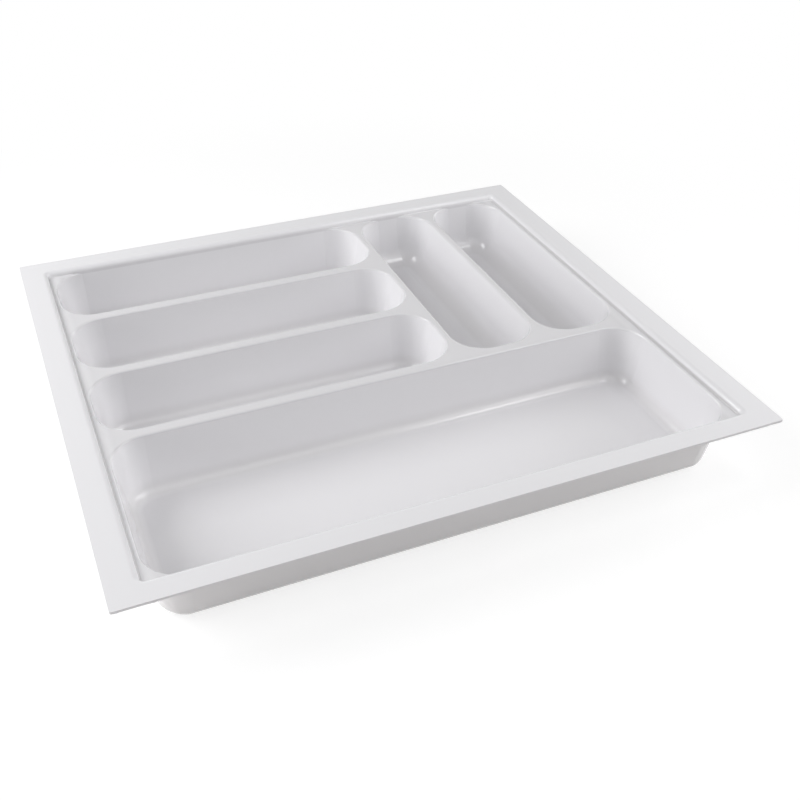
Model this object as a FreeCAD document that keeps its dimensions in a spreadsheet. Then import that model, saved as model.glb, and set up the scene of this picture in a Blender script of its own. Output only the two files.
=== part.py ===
"""Cutlery tray for a kitchen drawer: one plastic sheet formed into six wells under a flat flange.

The sheet is what lies between two skins. The upper skin bounds the open space above the sheet, and the
lower skin is the same form moved out by the sheet's thickness. Each is a shallow recess in the flange
and six sloping wells in the ledge at the recess's foot. A well that lies against the front or back
wall has no ledge there: one straight wall runs from its floor up to the flange.
"""
import FreeCAD
import Part
import Sketcher

import math
import os
from enum import IntEnum, auto
from typing import NamedTuple

# Driving dimensions, in millimetres and degrees.
SIZES = {
    # Outside of the tray.
    "tray_width": 540,
    "tray_depth": 490,
    "tray_height": 60,
    "flange_corner": 1.5,
    # The sheet as supplied, which the flange keeps, and where it is drawn thinner.
    "flange_sheet": 2,
    "formed_sheet": 1.5,
    # Recess: widths of the flange are to the wall's line in the flange's top face.
    "side_flange": 23.3,
    "end_flange": 20.8,
    "recess_corner": 5,
    "step_drop": 6,
    "mouth_radius": 5,
    "crease_radius": 1.5,
    # Wells, measured between their rims on the ledge.
    "side_ledge": 3.45,
    "front_well_width": 160.5,
    "cross_well_width": 79,
    "row_divider": 10.5,
    "cross_divider": 6.5,
    "well_corner": 31,
    "rim_radius": 2,
    # Bend at the foot of a well's walls: in the front well and the rows, and in the wells across.
    "floor_radius": 10,
    "cross_floor_radius": 21,
    # How much wider that bend is along the front and back walls.
    "end_bend_gain": 1.5,
    # How many wells lie in rows behind the front one, and how many lie across at their right.
    "row_wells": 3,
    "cross_wells": 2,
    # Slope of every wall from the upright.
    "wall_draft": 10,
    # Sharpest bend of the sheet's lower face, and least straight wall between two bends.
    "least_bend": 0.4,
    "least_wall": 0.1,
    # How far a well against the front or back wall runs past it, so that no ledge is left, and how far
    # the bend at that wall's foot runs past the floor.
    "wall_overrun": 0.1,
    "floor_overrun": 0.1,
}

# Lengths below this are nothing.
TOLERANCE = 1e-4

SLOPE = "tan(sizes.wall_draft)"

# Recess wall in the flange's top face, its foot on the ledge, and the rims at the tray's two sides.
WALL_X = "(sizes.tray_width / 2 - sizes.side_flange)"
WALL_Y = "(sizes.tray_depth / 2 - sizes.end_flange)"
LEDGE_X = f"({WALL_X} - sizes.step_drop * {SLOPE})"
LEDGE_Y = f"({WALL_Y} - sizes.step_drop * {SLOPE})"
RIM_X = f"({LEDGE_X} - sizes.side_ledge)"

# Where the rows begin behind the front well, how wide each is, and where the wells across begin.
ROWS_Y = f"(-{LEDGE_Y} + sizes.front_well_width + sizes.row_divider)"
ROW_WIDTH = f"((2 * {LEDGE_Y} - sizes.front_well_width) / sizes.row_wells - sizes.row_divider)"
CROSS_PITCH = "(sizes.cross_well_width + sizes.cross_divider)"
CROSS_X = f"({RIM_X} + sizes.cross_divider - sizes.cross_wells * {CROSS_PITCH})"

# The bend at the recess's mouth is limited by the wall that the crease at its foot leaves.
STEP_WALL = "(sizes.step_drop + sizes.formed_sheet - sizes.flange_sheet - sizes.least_wall)"
MOUTH = f"min(sizes.mouth_radius; {STEP_WALL} / (1 - sin(sizes.wall_draft)) - sizes.crease_radius)"

# The bend at a well's floor is limited by the corner's radius there.
WELL_DEPTH = "(sizes.tray_height - sizes.formed_sheet - sizes.step_drop)"
FLOOR_CORNER = f"(sizes.well_corner - {WELL_DEPTH} * {SLOPE} - sizes.least_wall)"
WIDEST_BEND = f"{FLOOR_CORNER} / tan(45 - sizes.wall_draft / 2)"
FLOOR_BEND = f"min(sizes.floor_radius; {WIDEST_BEND})"
CROSS_FLOOR_BEND = f"min(sizes.cross_floor_radius; {WIDEST_BEND})"


class Skin(NamedTuple):
    """One face of the sheet: how far it lies below the upper face on formed walls and on the flange."""

    name: str
    wall: str
    flange: str

    @property
    def outset(self):
        """Level distance of this skin from the upper one, on a sloping wall."""
        return f"({self.wall} / cos(sizes.wall_draft))"

    def inner_bend(self, radius):
        """Radius of this skin where the upper one is rounded over an edge."""
        return f"max({radius} - {self.wall}; sizes.least_bend)"

    def outer_bend(self, radius):
        """Radius of this skin where the upper one is rounded into a corner."""
        return f"({radius} + {self.wall})"


UPPER = Skin("upper", "0", "0")
LOWER = Skin("lower", "sizes.formed_sheet", "sizes.flange_sheet")


class Well(NamedTuple):
    """Rim of a well on the ledge: its left, right, front and back lines, and the bend at its floor."""

    name: str
    left: str
    right: str
    front: str
    back: str
    bend: str


doc = FreeCAD.newDocument("cutlery_tray")


def make_spreadsheet():
    """Puts the driving dimensions into the document's spreadsheet, one aliased cell each."""
    cells = doc.addObject("Spreadsheet::Sheet", "sizes")
    for row, (alias, number) in enumerate(SIZES.items(), start=1):
        cells.set(f"A{row}", alias)
        cells.set(f"B{row}", str(number))
        cells.setAlias(f"B{row}", alias)
    doc.recompute()
    return cells


sizes = make_spreadsheet()


def value(expression):
    """Number that an expression on the spreadsheet gives."""
    return float(sizes.evalExpression(expression))


def new_body(name, x="0", y="0", z="0"):
    """Empty body, placed by expressions."""
    body = doc.addObject("PartDesign::Body", name)
    for axis, expression in zip("xyz", (x, y, z)):
        body.setExpression(f"Placement.Base.{axis}", expression)
    return body


def origin_plane(body, role):
    """One of a body's own origin planes."""
    return next(feature for feature in body.Origin.OriginFeatures if feature.Role == role)


def new_sketch(body, role, level="0"):
    """Empty sketch on one of a body's origin planes, moved along its normal to a level."""
    sketch = body.newObject("Sketcher::SketchObject", "outline")
    sketch.AttachmentSupport = (origin_plane(body, role), [""])
    sketch.MapMode = "FlatFace"
    sketch.setExpression("AttachmentOffset.Base.z", level)
    return sketch


def dimension(sketch, constraint, expression):
    """Adds a dimension to a sketch and ties it to an expression."""
    index = sketch.addConstraint(constraint)
    sketch.setExpression(f"Constraints[{index}]", expression)


def add_line(sketch, start, end):
    """Adds a line between two points of a sketch."""
    return sketch.addGeometry(Part.LineSegment(FreeCAD.Vector(*start, 0), FreeCAD.Vector(*end, 0)))


def add_arc(sketch, centre, radius, begin, finish):
    """Adds an arc to a sketch, between two angles in degrees."""
    circle = Part.Circle(FreeCAD.Vector(*centre, 0), FreeCAD.Vector(0, 0, 1), radius)
    return sketch.addGeometry(Part.ArcOfCircle(circle, math.radians(begin), math.radians(finish)))


class End(IntEnum):
    """Ends of a sketch's line or arc, in the order in which a constraint counts them."""

    START = auto()
    FINISH = auto()


# A sketch's own origin, as a constraint names it.
ORIGIN = (-1, End.START)


def rounded_rectangle(body, length, width, corner, level="0"):
    """Sketch of a rectangle about the body's Z axis, with round corners."""
    sketch = new_sketch(body, "XY_Plane", level)
    radius = value(corner)
    half_x = value(length) / 2
    half_y = value(width) / 2
    turn_x = half_x - radius
    turn_y = half_y - radius
    front = add_line(sketch, (-turn_x, -half_y), (turn_x, -half_y))
    right = add_line(sketch, (half_x, -turn_y), (half_x, turn_y))
    back = add_line(sketch, (turn_x, half_y), (-turn_x, half_y))
    left = add_line(sketch, (-half_x, turn_y), (-half_x, -turn_y))
    corners = (
        add_arc(sketch, (turn_x, -turn_y), radius, -90, 0),
        add_arc(sketch, (turn_x, turn_y), radius, 0, 90),
        add_arc(sketch, (-turn_x, turn_y), radius, 90, 180),
        add_arc(sketch, (-turn_x, -turn_y), radius, 180, 270),
    )
    for before, arc, after in zip((front, right, back, left), corners, (right, back, left, front)):
        sketch.addConstraint(Sketcher.Constraint("Tangent", before, End.FINISH, arc, End.START))
        sketch.addConstraint(Sketcher.Constraint("Tangent", arc, End.FINISH, after, End.START))
    for side in (front, back):
        sketch.addConstraint(Sketcher.Constraint("Horizontal", side))
    for side in (right, left):
        sketch.addConstraint(Sketcher.Constraint("Vertical", side))
    for arc in corners[1:]:
        sketch.addConstraint(Sketcher.Constraint("Equal", corners[0], arc))
    dimension(sketch, Sketcher.Constraint("Radius", corners[0], radius), corner)
    dimension(sketch, Sketcher.Constraint("DistanceX", *ORIGIN, right, End.START, half_x), f"{length} / 2")
    dimension(sketch, Sketcher.Constraint("DistanceX", left, End.START, *ORIGIN, half_x), f"{length} / 2")
    dimension(sketch, Sketcher.Constraint("DistanceY", *ORIGIN, back, End.START, half_y), f"{width} / 2")
    dimension(sketch, Sketcher.Constraint("DistanceY", front, End.START, *ORIGIN, half_y), f"{width} / 2")
    return sketch


def add_pad(body, sketch, length, downwards=False, midplane=False):
    """Pads a sketch along its normal, against it, or to both sides."""
    pad = body.newObject("PartDesign::Pad", "pad")
    pad.Profile = sketch
    pad.Reversed = downwards
    pad.Midplane = midplane
    pad.setExpression("Length", length)
    doc.recompute()
    return pad


def add_draft(body, base):
    """Slopes the upright faces of a pad inwards below the body's XY plane."""
    faces = enumerate(base.Shape.Faces, start=1)
    upright = [f"Face{number}" for number, face in faces if face.BoundBox.ZLength > TOLERANCE]
    draft = body.newObject("PartDesign::Draft", "draft")
    draft.Base = (base, upright)
    draft.NeutralPlane = (origin_plane(body, "XY_Plane"), [""])
    draft.Reversed = True
    draft.setExpression("Angle", "sizes.wall_draft")
    doc.recompute()
    return draft


def level_face(shape, level):
    """Flat level face of a shape at a height."""
    def is_level(face):
        box = face.BoundBox
        return box.ZLength < TOLERANCE and abs(box.ZMin - level) < TOLERANCE
    return next(face for face in shape.Faces if is_level(face))


def add_fillet(body, base, wire, radius):
    """Rounds every edge of one wire of a feature."""
    edges = enumerate(base.Shape.Edges, start=1)
    chosen = [f"Edge{number}" for number, edge in edges if any(edge.isSame(other) for other in wire.Edges)]
    fillet = body.newObject("PartDesign::Fillet", "fillet")
    fillet.Base = (base, chosen)
    fillet.setExpression("Radius", radius)
    doc.recompute()
    return fillet


def add_mouth(body, base, outline, level, height, radius):
    """Adds the wide space over a hollow and rounds the hollow's edge into it."""
    wide = add_pad(body, outline, height)
    face = level_face(wide.Shape, value(level))
    edge = next(wire for wire in face.Wires if not wire.isSame(face.OuterWire))
    return add_fillet(body, wide, edge, radius)


def make_recess(skin):
    """Recess in the flange, from the flange's top face down to the ledge, with the plate over it."""
    body = new_body(f"{skin.name}_recess", z="sizes.tray_height")
    length = f"2 * ({WALL_X} + {skin.outset})"
    width = f"2 * ({WALL_Y} + {skin.outset})"
    corner = f"(sizes.recess_corner + {skin.outset})"
    drop = f"(sizes.step_drop + {skin.wall})"
    hollow = add_draft(body, add_pad(body, rounded_rectangle(body, length, width, corner), drop, True))
    foot = level_face(hollow.Shape, -value(drop)).OuterWire
    hollow = add_fillet(body, hollow, foot, skin.outer_bend("sizes.crease_radius"))
    level = f"-{skin.flange}"
    plate = rounded_rectangle(body, "sizes.tray_width", "sizes.tray_depth", "sizes.flange_corner", level)
    add_mouth(body, hollow, plate, level, "sizes.flange_sheet", skin.inner_bend(MOUTH))
    return body


def make_well(skin, well):
    """One well, from the ledge down to its floor, with the space over its rim."""
    centre_x = f"({well.left} + {well.right}) / 2"
    centre_y = f"({well.front} + {well.back}) / 2"
    body = new_body(f"{skin.name}_{well.name}", centre_x, centre_y, "sizes.tray_height - sizes.step_drop")
    length = f"({well.right} - {well.left} + 2 * {skin.outset})"
    width = f"({well.back} - {well.front} + 2 * {skin.outset})"
    half_x = f"({well.right} - {well.left}) / 2"
    half_y = f"({well.back} - {well.front}) / 2"
    corner = f"(min(sizes.well_corner; min({half_x}; {half_y}) - sizes.least_wall) + {skin.outset})"
    depth = f"({WELL_DEPTH} + {skin.wall})"
    hollow = add_draft(body, add_pad(body, rounded_rectangle(body, length, width, corner), depth, True))
    floor = level_face(hollow.Shape, -value(depth)).OuterWire
    hollow = add_fillet(body, hollow, floor, skin.outer_bend(well.bend))
    level = f"-{skin.wall}"
    bend = skin.inner_bend("sizes.rim_radius")
    margin = f"({bend} * tan(45 - sizes.wall_draft / 2) + sizes.least_wall)"
    wide = rounded_rectangle(
        body, f"({length} + 2 * {margin})", f"({width} + 2 * {margin})", f"({corner} + {margin})", level
    )
    add_mouth(body, hollow, wide, level, "sizes.step_drop", bend)
    return body


def make_pan(skin, name, floor_bend):
    """Section of the whole hollow between the front and back walls, along the tray's width."""
    body = new_body(f"{skin.name}_{name}_pan", z="sizes.tray_height")
    sketch = new_sketch(body, "YZ_Plane")
    top = f"({WALL_Y} + {skin.outset})"
    depth = f"(sizes.tray_height - sizes.formed_sheet + {skin.wall} + sizes.floor_overrun)"
    bend = skin.outer_bend(f"({floor_bend} + sizes.end_bend_gain)")
    slope = math.radians(value("sizes.wall_draft"))
    half_top = value(top)
    bottom = -value(depth)
    radius = value(bend)
    # Where the walls end and the bends begin, and the middles of the bends.
    foot = bottom + radius * (1 - math.sin(slope))
    half_foot = half_top + foot * math.tan(slope)
    middle = half_foot - radius * math.cos(slope)
    draft = math.degrees(slope)
    opening = add_line(sketch, (half_top, 0), (-half_top, 0))
    front = add_line(sketch, (-half_top, 0), (-half_foot, foot))
    front_bend = add_arc(sketch, (-middle, bottom + radius), radius, 180 + draft, 270)
    floor = add_line(sketch, (-middle, bottom), (middle, bottom))
    back_bend = add_arc(sketch, (middle, bottom + radius), radius, 270, 360 - draft)
    back = add_line(sketch, (half_foot, foot), (half_top, 0))
    sketch.addConstraint(Sketcher.Constraint("Coincident", opening, End.FINISH, front, End.START))
    sketch.addConstraint(Sketcher.Constraint("Tangent", front, End.FINISH, front_bend, End.START))
    sketch.addConstraint(Sketcher.Constraint("Tangent", front_bend, End.FINISH, floor, End.START))
    sketch.addConstraint(Sketcher.Constraint("Tangent", floor, End.FINISH, back_bend, End.START))
    sketch.addConstraint(Sketcher.Constraint("Tangent", back_bend, End.FINISH, back, End.START))
    sketch.addConstraint(Sketcher.Constraint("Coincident", back, End.FINISH, opening, End.START))
    sketch.addConstraint(Sketcher.Constraint("Symmetric", opening, End.START, opening, End.FINISH, *ORIGIN))
    sketch.addConstraint(Sketcher.Constraint("Horizontal", opening))
    sketch.addConstraint(Sketcher.Constraint("Horizontal", floor))
    sketch.addConstraint(Sketcher.Constraint("Equal", front_bend, back_bend))
    lean = math.radians(90) - slope
    for vertex in ((front, End.START, opening, End.FINISH), (opening, End.START, back, End.FINISH)):
        dimension(sketch, Sketcher.Constraint("Angle", *vertex, lean), "90 - sizes.wall_draft")
    dimension(sketch, Sketcher.Constraint("Radius", front_bend, radius), bend)
    dimension(sketch, Sketcher.Constraint("DistanceX", *ORIGIN, opening, End.START, half_top), top)
    dimension(sketch, Sketcher.Constraint("DistanceY", floor, End.START, *ORIGIN, -bottom), depth)
    add_pad(body, sketch, "sizes.tray_width", midplane=True)
    return body


def list_wells():
    """The rims of the front well, of the rows behind it, and of the wells across at their right."""
    past_wall = f"({LEDGE_Y} + sizes.wall_overrun)"
    front_back = f"({ROWS_Y} - sizes.row_divider)"
    wells = [Well("front_well", f"-{RIM_X}", RIM_X, f"-{past_wall}", front_back, FLOOR_BEND)]
    rows_right = f"({CROSS_X} - sizes.cross_divider)"
    rows = int(value("sizes.row_wells"))
    for row in range(rows):
        front = f"({ROWS_Y} + {row} * ({ROW_WIDTH} + sizes.row_divider))"
        back = past_wall if row == rows - 1 else f"({front} + {ROW_WIDTH})"
        wells.append(Well(f"row_well_{row + 1}", f"-{RIM_X}", rows_right, front, back, FLOOR_BEND))
    for place in range(int(value("sizes.cross_wells"))):
        left = f"({CROSS_X} + {place} * {CROSS_PITCH})"
        right = f"({left} + sizes.cross_well_width)"
        wells.append(Well(f"cross_well_{place + 1}", left, right, ROWS_Y, past_wall, CROSS_FLOOR_BEND))
    return wells


def make_skin(skin):
    """Everything above one face of the sheet, as one solid."""
    hollows = [make_recess(skin)]
    pans = {
        FLOOR_BEND: make_pan(skin, "row", FLOOR_BEND),
        CROSS_FLOOR_BEND: make_pan(skin, "cross", CROSS_FLOOR_BEND),
    }
    for well in list_wells():
        clipped = doc.addObject("Part::Common", f"{skin.name}_{well.name}_between_walls")
        clipped.Base = make_well(skin, well)
        clipped.Tool = pans[well.bend]
        clipped.Refine = False
        hollows.append(clipped)
    whole = doc.addObject("Part::MultiFuse", f"{skin.name}_skin")
    whole.Shapes = hollows
    whole.Refine = False
    doc.recompute()
    return whole


def make_tray():
    """The sheet between its lower and upper skins."""
    tray = doc.addObject("Part::Cut", "tray_shell")
    tray.Label = "tray_shell"
    tray.Base = make_skin(LOWER)
    tray.Tool = make_skin(UPPER)
    tray.Refine = True
    tray.Placement = FreeCAD.Placement()
    doc.recompute()
    return tray


def check():
    """Stops if any object of the document failed."""
    for item in doc.Objects:
        if "Invalid" in item.State or "Error" in item.State:
            raise RuntimeError(f"{item.Label} failed: {item.State}")


def write(pieces):
    """Writes each piece to a file of its own, named by its label."""
    for piece in pieces:
        if piece.Shape.isNull() or not piece.Shape.isValid():
            raise RuntimeError(f"{piece.Label} has no valid shape")
    os.makedirs("parts", exist_ok=True)
    for piece in pieces:
        piece.Shape.exportStep(f"parts/{piece.Label}.step")
        box = piece.Shape.BoundBox
        print(
            f"{piece.Label}: {len(piece.Shape.Solids)} solid, {piece.Shape.Volume / 1000:.1f} cm3,"
            f" {box.XLength:.2f} x {box.YLength:.2f} x {box.ZLength:.2f} mm"
        )


tray_shell = make_tray()
check()
write([tray_shell])
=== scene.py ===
"""Looks of a cutlery tray: one white plastic sheet, formed into six wells under a flat, sawn flange.

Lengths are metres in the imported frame: +X to the right, +Y to the back, +Z up, and the origin on the
floor under the middle of the tray.
"""

import logging
from dataclasses import dataclass, field
from enum import Enum
from math import cos, radians, sin

import bmesh
import bpy
from mathutils import Matrix, Vector, noise


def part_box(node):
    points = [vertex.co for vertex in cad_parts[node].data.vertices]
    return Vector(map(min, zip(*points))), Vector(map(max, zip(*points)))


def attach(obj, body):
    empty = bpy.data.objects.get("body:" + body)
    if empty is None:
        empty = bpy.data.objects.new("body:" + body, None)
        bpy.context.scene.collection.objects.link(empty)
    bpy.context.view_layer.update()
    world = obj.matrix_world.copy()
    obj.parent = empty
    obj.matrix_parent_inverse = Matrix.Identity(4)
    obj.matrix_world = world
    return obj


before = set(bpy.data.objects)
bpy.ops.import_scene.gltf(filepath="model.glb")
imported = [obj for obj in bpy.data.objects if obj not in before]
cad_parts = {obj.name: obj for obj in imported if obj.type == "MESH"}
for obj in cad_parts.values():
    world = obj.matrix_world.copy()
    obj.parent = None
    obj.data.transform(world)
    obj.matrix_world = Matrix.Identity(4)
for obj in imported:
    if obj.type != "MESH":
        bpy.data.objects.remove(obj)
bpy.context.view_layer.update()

log = logging.getLogger("cutlery_tray")

Colour = tuple[float, float, float]
Triple = tuple[float, float, float]

NOISE_MIDDLE = 0.5


class Ray(Enum):
    """Rays that see the studio's white, as the Light Path node names them."""

    CAMERA = "Is Camera Ray"
    GLOSSY = "Is Glossy Ray"
    TRANSMISSION = "Is Transmission Ray"


class Side(Enum):
    """Sides of the flange, as turns in degrees from the front one."""

    FRONT = 0
    RIGHT = 90
    BACK = 180
    LEFT = 270


class Signal:
    """A number that varies over a surface. Python's operators on it add Math nodes."""

    def __init__(self, graph: "Graph", socket: bpy.types.NodeSocket) -> None:
        """Wraps an output socket of a graph."""
        self.graph = graph
        self.socket = socket

    def maths(self, operation: str, *operands: "Signal | float") -> "Signal":
        """Adds one Math node.

        Args:
            operation: Name of the Math node's operation.
            operands: Its inputs in order, as signals or plain numbers.

        Returns:
            The node's result.
        """
        return self.graph.signal("ShaderNodeMath", {"operation": operation}, dict(enumerate(operands)))

    def __add__(self, other: "Signal | float") -> "Signal":
        """Sum."""
        return self.maths("ADD", self, other)

    __radd__ = __add__

    def __sub__(self, other: "Signal | float") -> "Signal":
        """Difference."""
        return self.maths("SUBTRACT", self, other)

    def __rsub__(self, other: "Signal | float") -> "Signal":
        """Difference from a plain number."""
        return self.maths("SUBTRACT", other, self)

    def __mul__(self, other: "Signal | float") -> "Signal":
        """Product."""
        return self.maths("MULTIPLY", self, other)

    __rmul__ = __mul__

    def __abs__(self) -> "Signal":
        """Size without its sign."""
        return self.maths("ABSOLUTE", self)

    def larger(self, other: "Signal | float") -> "Signal":
        """The larger of two signals."""
        return self.maths("MAXIMUM", self, other)

    def rises(self, low: float, high: float) -> "Signal":
        """Smooth step from 0 at low to 1 at high, or the other way round where low is the higher."""
        sockets = {"Value": self, "From Min": low, "From Max": high}
        return self.graph.signal("ShaderNodeMapRange", {"interpolation_type": "SMOOTHSTEP"}, sockets)


class Graph:
    """A node tree that a material or the surroundings own."""

    def __init__(self, owner: bpy.types.Material | bpy.types.World) -> None:
        """Empties the owner's node tree."""
        owner.use_nodes = True
        self.tree = owner.node_tree
        self.tree.nodes.clear()

    def node(self, kind: str, settings: dict | None = None, inputs: dict | None = None) -> bpy.types.Node:
        """Adds a node of any kind.

        Args:
            kind: Blender's name for the node's type.
            settings: Properties of the node, set before its sockets.
            inputs: Values, signals or output sockets by input name or number.

        Returns:
            The new node.
        """
        made = self.tree.nodes.new(kind)
        for name, setting in (settings or {}).items():
            setattr(made, name, setting)
        for name, given in (inputs or {}).items():
            source = given.socket if isinstance(given, Signal) else given
            if isinstance(source, bpy.types.NodeSocket):
                self.tree.links.new(source, made.inputs[name])
            else:
                made.inputs[name].default_value = source
        return made

    def signal(self, kind: str, settings: dict | None = None, inputs: dict | None = None) -> Signal:
        """Adds a node and returns its first output as a number."""
        return Signal(self, self.node(kind, settings, inputs).outputs[0])

    def seen(self) -> Signal:
        """1 on rays from the camera, a mirror or a glass, and 0 on rays that only carry light."""
        path = self.node("ShaderNodeLightPath")
        rays = [Signal(self, path.outputs[ray.value]) for ray in Ray]
        return rays[0].larger(rays[1]).larger(rays[2])

    def blend(self, share: Signal, low: "Colour | bpy.types.NodeSocket",
              high: "Colour | bpy.types.NodeSocket") -> bpy.types.NodeSocket:
        """Colour between two.

        Args:
            share: 0 for the first colour, 1 for the second.
            low: First colour.
            high: Second colour.

        Returns:
            The mixed colour.
        """
        ends = [end if isinstance(end, bpy.types.NodeSocket) else (*end, 1) for end in (low, high)]
        sockets = {0: share, 6: ends[0], 7: ends[1]}
        return self.node("ShaderNodeMix", {"data_type": "RGBA"}, sockets).outputs[2]


class Shading(Graph):
    """Node tree of a new material, with one Principled shader at its end."""

    def __init__(self, name: str) -> None:
        """Makes the material."""
        self.material = bpy.data.materials.new(name)
        super().__init__(self.material)

    def place(self, stretch: Triple = (1, 1, 1)) -> bpy.types.NodeSocket:
        """Position on the piece in metres, each axis multiplied by a number."""
        sockets = {0: self.node("ShaderNodeTexCoord").outputs["Object"], 1: stretch}
        return self.node("ShaderNodeVectorMath", {"operation": "MULTIPLY"}, sockets).outputs[0]

    def axes(self, place: bpy.types.NodeSocket) -> list[Signal]:
        """The three coordinates of a position."""
        split = self.node("ShaderNodeSeparateXYZ", None, {0: place})
        return [Signal(self, socket) for socket in split.outputs]

    def clouds(self, place: bpy.types.NodeSocket, size: float, detail: float = 2.0) -> Signal:
        """Soft noise from 0 to 1.

        Args:
            place: Position that the noise is read at.
            size: Rough distance between its light patches, in metres.
            detail: Number of finer layers.

        Returns:
            The noise.
        """
        sockets = {"Vector": place, "Scale": 1 / size, "Detail": detail}
        return self.signal("ShaderNodeTexNoise", None, sockets)

    def relief(self, *layers: tuple[Signal, float]) -> bpy.types.NodeSocket:
        """Normal of several reliefs on each other.

        Args:
            layers: Each relief from 0 to 1, with the height in metres that 1 stands for.

        Returns:
            The normal.
        """
        normal = None
        for height, depth in layers:
            inputs = {"Height": height, "Distance": depth}
            if normal is not None:
                inputs["Normal"] = normal
            normal = self.node("ShaderNodeBump", None, inputs).outputs[0]
        return normal

    def finish(self, sockets: dict) -> bpy.types.Material:
        """Adds the shader with its sockets, links it to the output and returns the material."""
        shader = self.node("ShaderNodeBsdfPrincipled", None, sockets)
        self.node("ShaderNodeOutputMaterial", None, {"Surface": shader.outputs[0]})
        return self.material


@dataclass(frozen=True)
class FormedPlastic:
    """White polystyrene sheet: satin where the mould formed it, matt where a saw cut it.

    A relief has two sizes: the distance between its crests, and its depth.
    """

    flange: Colour = (0.795, 0.79, 0.808)
    # Darker, bluer tone that the colour turns to towards the bottom of the tray.
    lower_tone: Colour = (0.775, 0.767, 0.785)
    # Painted shade: darker grey on the tops and rims of the dividers between the wells.
    ridge_shade: Colour = (0.70, 0.692, 0.71)
    # Painted shade: darker grey on the bends just above the wells' floors.
    bend_shade: Colour = (0.73, 0.721, 0.734)
    # Greyer than the sheet: painted shade on the flange's cut faces.
    sawn: Colour = (0.70, 0.69, 0.715)
    # Painted shade: dark grey in the crease at the foot of the step at the left and right ends, laid on
    # in patches.
    crease_shade: Colour = (0.47, 0.46, 0.47)
    lower_tone_share: float = 0.75
    crease_shade_least: float = 0.5
    ior: float = 1.55
    gloss: float = 0.15
    gloss_change: float = 0.05
    flange_gloss: float = 0.235
    rim_gloss: float = 0.09
    sawn_gloss: float = 0.62
    patch: float = 0.09
    bow: float = 0.07
    bow_depth: float = 0.00025
    peel: float = 0.0035
    peel_depth: float = 0.00001
    grain: float = 0.0007
    grain_depth: float = 0.000003
    saw_mark: float = 0.0006
    saw_depth: float = 0.00008
    saw_stretch: Triple = (1, 1, 0.06)
    sawn_band: float = 0.0003
    step: float = 0.006
    rim: float = 0.0022
    crease: float = 0.0244
    crease_shade_reach: float = 0.0016
    floor_sheet: float = 0.0015
    bend: float = 0.015
    bend_core: float = 0.00375
    side_ledge: float = 0.03
    side_fade: float = 0.0066

    def material(self, low: Vector, high: Vector) -> bpy.types.Material:
        """Makes the material.

        Args:
            low: Lowest corner of the tray.
            high: Highest corner of the tray.

        Returns:
            The material.
        """
        shading = Shading("white_sheet")
        place = shading.place()
        x, y, z = shading.axes(place)
        patches = shading.clouds(place, self.patch)
        marks = shading.clouds(shading.place(self.saw_stretch), self.saw_mark, 1)
        sawn_x = abs(x).rises(high.x - self.sawn_band, high.x)
        sawn = sawn_x.larger(abs(y).rises(high.y - self.sawn_band, high.y))
        ledge = high.z - self.step
        rims = z.rises(ledge - self.rim, ledge - self.rim / 2) * z.rises(ledge + self.rim, ledge)
        # Colour turns darker and bluer towards the bottom, with random patches of tone.
        lower_tone = self.lower_tone_share * z.rises(high.z, low.z) + (1 - self.lower_tone_share) * patches
        # Painted shade on the bends from just above the floors up to where the bends end.
        floor = low.z + self.floor_sheet
        bends = z.rises(floor + self.bend, floor + self.bend_core)
        bend_shade = z.rises(floor, floor + self.floor_sheet) * bends
        # Painted shade on the dividers' tops and rims, fading out before the side ledges.
        side_ledge = high.x - self.side_ledge
        ridge_shade_mask = rims * abs(x).rises(side_ledge, side_ledge - self.side_fade)
        # Painted shade in the crease at the foot of the step, in uneven patches.
        crease = abs(abs(x) - (high.x - self.crease)).rises(self.crease_shade_reach, 0)
        level = abs(z - ledge).rises(2 * self.crease_shade_reach, self.crease_shade_reach)
        crease_shade = crease * level * (self.crease_shade_least + (1 - self.crease_shade_least) * patches)
        colour = shading.blend(lower_tone, self.flange, self.lower_tone)
        colour = shading.blend(bend_shade, colour, self.bend_shade)
        colour = shading.blend(ridge_shade_mask, colour, self.ridge_shade)
        colour = shading.blend(crease_shade, colour, self.crease_shade)
        gloss = self.gloss + (self.flange_gloss - self.gloss) * z.rises(ledge + self.rim, high.z)
        gloss = gloss + self.gloss_change * (patches - NOISE_MIDDLE)
        gloss = gloss + rims * (self.rim_gloss - gloss)
        return shading.finish({
            # The cut faces take the greyer sawn colour, which is painted shade; their higher roughness is
            # real.
            "Base Color": shading.blend(sawn, colour, self.sawn),
            "Roughness": gloss + sawn * (self.sawn_gloss - gloss),
            "IOR": self.ior,
            "Normal": shading.relief(
                (shading.clouds(place, self.bow, 0), self.bow_depth),
                (shading.clouds(place, self.peel, 1), self.peel_depth),
                (shading.clouds(place, self.grain, 1), self.grain_depth),
                (marks * sawn, self.saw_depth),
            ),
        })


@dataclass(frozen=True)
class WhitePaper:
    """Studio floor, which is white to the camera and still takes the tray's shadow."""

    lit: Colour = (0.84, 0.82, 0.80)
    shown: Colour = (0.34, 0.34, 0.34)
    glow: Colour = (0.72, 0.72, 0.72)
    dark: Colour = (0, 0, 0)
    white: Colour = (1, 1, 1)
    roughness: float = 0.9
    near: float = 0.32
    far: float = 0.75

    def material(self) -> bpy.types.Material:
        """Makes the material, which turns plain white away from the tray."""
        shading = Shading("white_paper")
        seen = shading.seen()
        away = shading.node("ShaderNodeVectorMath", {"operation": "LENGTH"}, {0: shading.place()})
        plain = Signal(shading, away.outputs["Value"]).rises(self.near, self.far)
        shown = shading.blend(plain, self.shown, self.dark)
        glow = shading.blend(plain, self.glow, self.white)
        return shading.finish({
            "Base Color": shading.blend(seen, self.lit, shown),
            "Roughness": self.roughness,
            "Specular IOR Level": 0,
            "Emission Color": shading.blend(seen, self.dark, glow),
            "Emission Strength": 1,
        })


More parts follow.
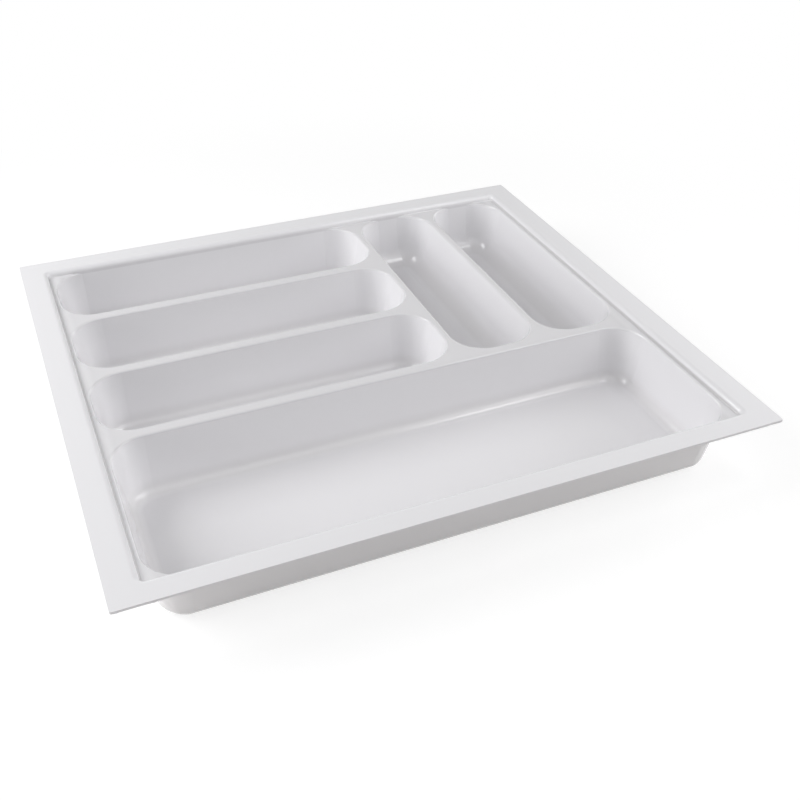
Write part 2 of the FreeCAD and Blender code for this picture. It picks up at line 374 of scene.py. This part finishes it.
@dataclass
class SawnEdge:
    """Ragged burr that the saw left along the lower arris of the flange's four cut edges."""

    reach: float = 0.0024
    least: float = 0.00004
    most: float = 0.0008
    thickness: float = 0.00012
    inset: float = 0.00003
    overlap: float = 0.0003
    pitch: float = 0.0008
    ripple: float = 0.003
    patch: float = 0.05
    patch_layer: float = 7
    even_share: float = 0.25
    corner_gap: float = 0.002

    def hang(self, along: float, side: Side) -> float:
        """How far the burr hangs at a place along a side: little in most, and more in patches."""
        fine = abs(noise.noise(Vector((along / self.ripple, side.value, 0))))
        broad = max(noise.noise(Vector((along / self.patch, side.value, self.patch_layer))), 0)
        return min(self.least + self.reach * fine * (self.even_share + broad), self.most)

    def add_strip(self, shape: bmesh.types.BMesh, side: Side, length: float, out: float,
                  level: float) -> None:
        """Adds the strip of one side.

        Args:
            shape: Mesh that the strip is added to.
            side: Side of the flange.
            length: Length of the strip.
            out: Distance of the cut edge from the middle of the tray.
            level: Height of the flange's lower face.
        """
        steps = round(length / self.pitch)
        points = bmesh.ops.create_grid(shape, x_segments=steps, y_segments=1, size=0.5)["verts"]
        bmesh.ops.scale(shape, vec=(length, 1, 1), verts=points)
        for point in points:
            drop = self.hang(point.co.x, side) if point.co.y < 0 else -self.overlap
            point.co = Vector((point.co.x, self.inset - out, level - drop))
        faces = list({face for point in points for face in point.link_faces})
        bmesh.ops.recalc_face_normals(shape, faces=faces)
        walls = bmesh.ops.solidify(shape, geom=faces, thickness=self.thickness)["geom"]
        strip = list({*points, *(item for item in walls if isinstance(item, bmesh.types.BMVert))})
        for point in strip:
            point.co.y = max(point.co.y, self.inset - out)
        turn = Matrix.Rotation(radians(side.value), 3, "Z")
        bmesh.ops.rotate(shape, matrix=turn, verts=strip)

    def build(self, low: Vector, high: Vector, sheet: float) -> bpy.types.Object:
        """Builds the burr round the whole flange.

        Args:
            low: Lowest corner of the tray.
            high: Highest corner of the tray.
            sheet: Thickness of the flange.

        Returns:
            The burr.
        """
        width, depth = high.x - low.x, high.y - low.y
        shape = bmesh.new()
        for side in Side:
            across = side in (Side.FRONT, Side.BACK)
            length, out = (width, depth / 2) if across else (depth, width / 2)
            self.add_strip(shape, side, length - 2 * self.corner_gap, out, high.z - sheet)
        bmesh.ops.recalc_face_normals(shape, faces=shape.faces)
        mesh = bpy.data.meshes.new("sawn_burr")
        shape.to_mesh(mesh)
        shape.free()
        burr = bpy.data.objects.new("sawn_burr", mesh)
        bpy.context.scene.collection.objects.link(burr)
        return burr


@dataclass
class Tray:
    """The formed sheet, which is the whole tray, and the burr on its sawn edges."""

    node: str = "tray_shell"
    body: str = "root"
    slot: str = "sheet"
    sheet: float = 0.002
    finish: FormedPlastic = field(default_factory=FormedPlastic)
    edge: SawnEdge = field(default_factory=SawnEdge)

    def build(self) -> list[bpy.types.Object]:
        """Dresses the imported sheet, adds the burr and returns both."""
        low, high = (Vector(corner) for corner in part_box(self.node))
        finish = self.finish.material(low, high)
        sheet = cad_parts[self.node]
        burr = self.edge.build(low, high, self.sheet)
        for piece in (sheet, burr):
            piece.data.materials.clear()
            piece.data.materials.append(finish)
        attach(burr, self.body)
        return [sheet, burr]


@dataclass(frozen=True)
class Softbox:
    """A soft rectangular lamp that faces the tray from a distance.

    Its azimuth runs from the back, 0, over the right, 90, and its elevation is from the floor.
    """

    name: str
    azimuth: float
    elevation: float
    distance: float
    width: float
    height: float
    power: float

    def add(self) -> bpy.types.Object:
        """Adds the lamp to the scene and returns it."""
        lamp = bpy.data.lights.new(self.name, "AREA")
        lamp.shape = "RECTANGLE"
        lamp.size = self.width
        lamp.size_y = self.height
        lamp.energy = self.power
        azimuth, elevation = radians(self.azimuth), radians(self.elevation)
        level = cos(elevation)
        way = Vector((level * sin(azimuth), level * cos(azimuth), sin(elevation)))
        stand = bpy.data.objects.new(self.name, lamp)
        stand.location = way * self.distance
        stand.rotation_euler = (-way).to_track_quat("-Z", "Y").to_euler()
        bpy.context.scene.collection.objects.link(stand)
        return stand


@dataclass
class Studio:
    """White floor and surroundings, soft lamps and the camera."""

    floor_reach: float = 6.0
    paper: WhitePaper = field(default_factory=WhitePaper)
    surround_light: float = 0.02
    lamps: tuple[Softbox, ...] = (
        Softbox("left_softbox", azimuth=291, elevation=36, distance=1.5,
                width=0.9, height=0.95, power=17.4),
        Softbox("left_reflector", azimuth=280, elevation=13, distance=1.15,
                width=0.9, height=0.4, power=2.2),
        Softbox("right_softbox", azimuth=120, elevation=57, distance=1.22,
                width=0.34, height=0.34, power=2.1),
        Softbox("right_reflector", azimuth=84, elevation=15, distance=2.0,
                width=2.3, height=0.9, power=18.5),
        Softbox("right_fill", azimuth=124, elevation=31, distance=2.0,
                width=1.5, height=1.0, power=12.0),
        Softbox("front_reflector", azimuth=180, elevation=45, distance=1.5,
                width=1.5, height=1.0, power=4.0),
        Softbox("floor_reflector", azimuth=250, elevation=9, distance=0.8,
                width=0.5, height=0.2, power=0.6),
    )
    camera_place: Triple = (-0.2807, -0.7215, 0.5525)
    camera_target: Triple = (-0.00754, -0.10311, 0.0600)
    camera_roll: float = 1.019
    camera_lens: float = 45.65

    def add_floor(self) -> bpy.types.Object:
        """Adds the floor and returns it."""
        mesh = bpy.data.meshes.new("floor")
        shape = bmesh.new()
        bmesh.ops.create_grid(shape, x_segments=1, y_segments=1, size=self.floor_reach)
        shape.to_mesh(mesh)
        shape.free()
        mesh.materials.append(self.paper.material())
        floor = bpy.data.objects.new("floor", mesh)
        bpy.context.scene.collection.objects.link(floor)
        return floor

    def add_surroundings(self) -> bpy.types.World:
        """Adds surroundings that are white to the camera and give the tray a dim even light."""
        world = bpy.data.worlds.new("surroundings")
        bpy.context.scene.world = world
        graph = Graph(world)
        strength = self.surround_light + (1 - self.surround_light) * graph.seen()
        back = graph.node("ShaderNodeBackground", None, {"Color": (1, 1, 1, 1), "Strength": strength})
        graph.node("ShaderNodeOutputWorld", None, {"Surface": back.outputs[0]})
        return world

    def add_camera(self) -> bpy.types.Object:
        """Adds the camera at the photograph's viewpoint and returns it."""
        camera = bpy.data.cameras.new("camera")
        camera.lens = self.camera_lens
        stand = bpy.data.objects.new("camera", camera)
        place = Vector(self.camera_place)
        turn = (Vector(self.camera_target) - place).to_track_quat("-Z", "Y").to_matrix().to_4x4()
        roll = Matrix.Rotation(radians(self.camera_roll), 4, "Z")
        stand.matrix_world = Matrix.Translation(place) @ turn @ roll
        bpy.context.scene.collection.objects.link(stand)
        bpy.context.scene.camera = stand
        return stand

    def build(self) -> None:
        """Builds the whole studio."""
        self.add_floor()
        self.add_surroundings()
        for lamp in self.lamps:
            lamp.add()
        self.add_camera()
        bpy.context.scene.view_settings.view_transform = "Standard"


def main() -> None:
    """Dresses the tray, builds the studio and logs the faces of each piece."""
    logging.basicConfig(level=logging.INFO, format="%(name)s: %(message)s")
    for piece in Tray().build():
        log.info("%s: %d faces", piece.name, len(piece.data.polygons))
    Studio().build()


if __name__ == "__main__":
    main()
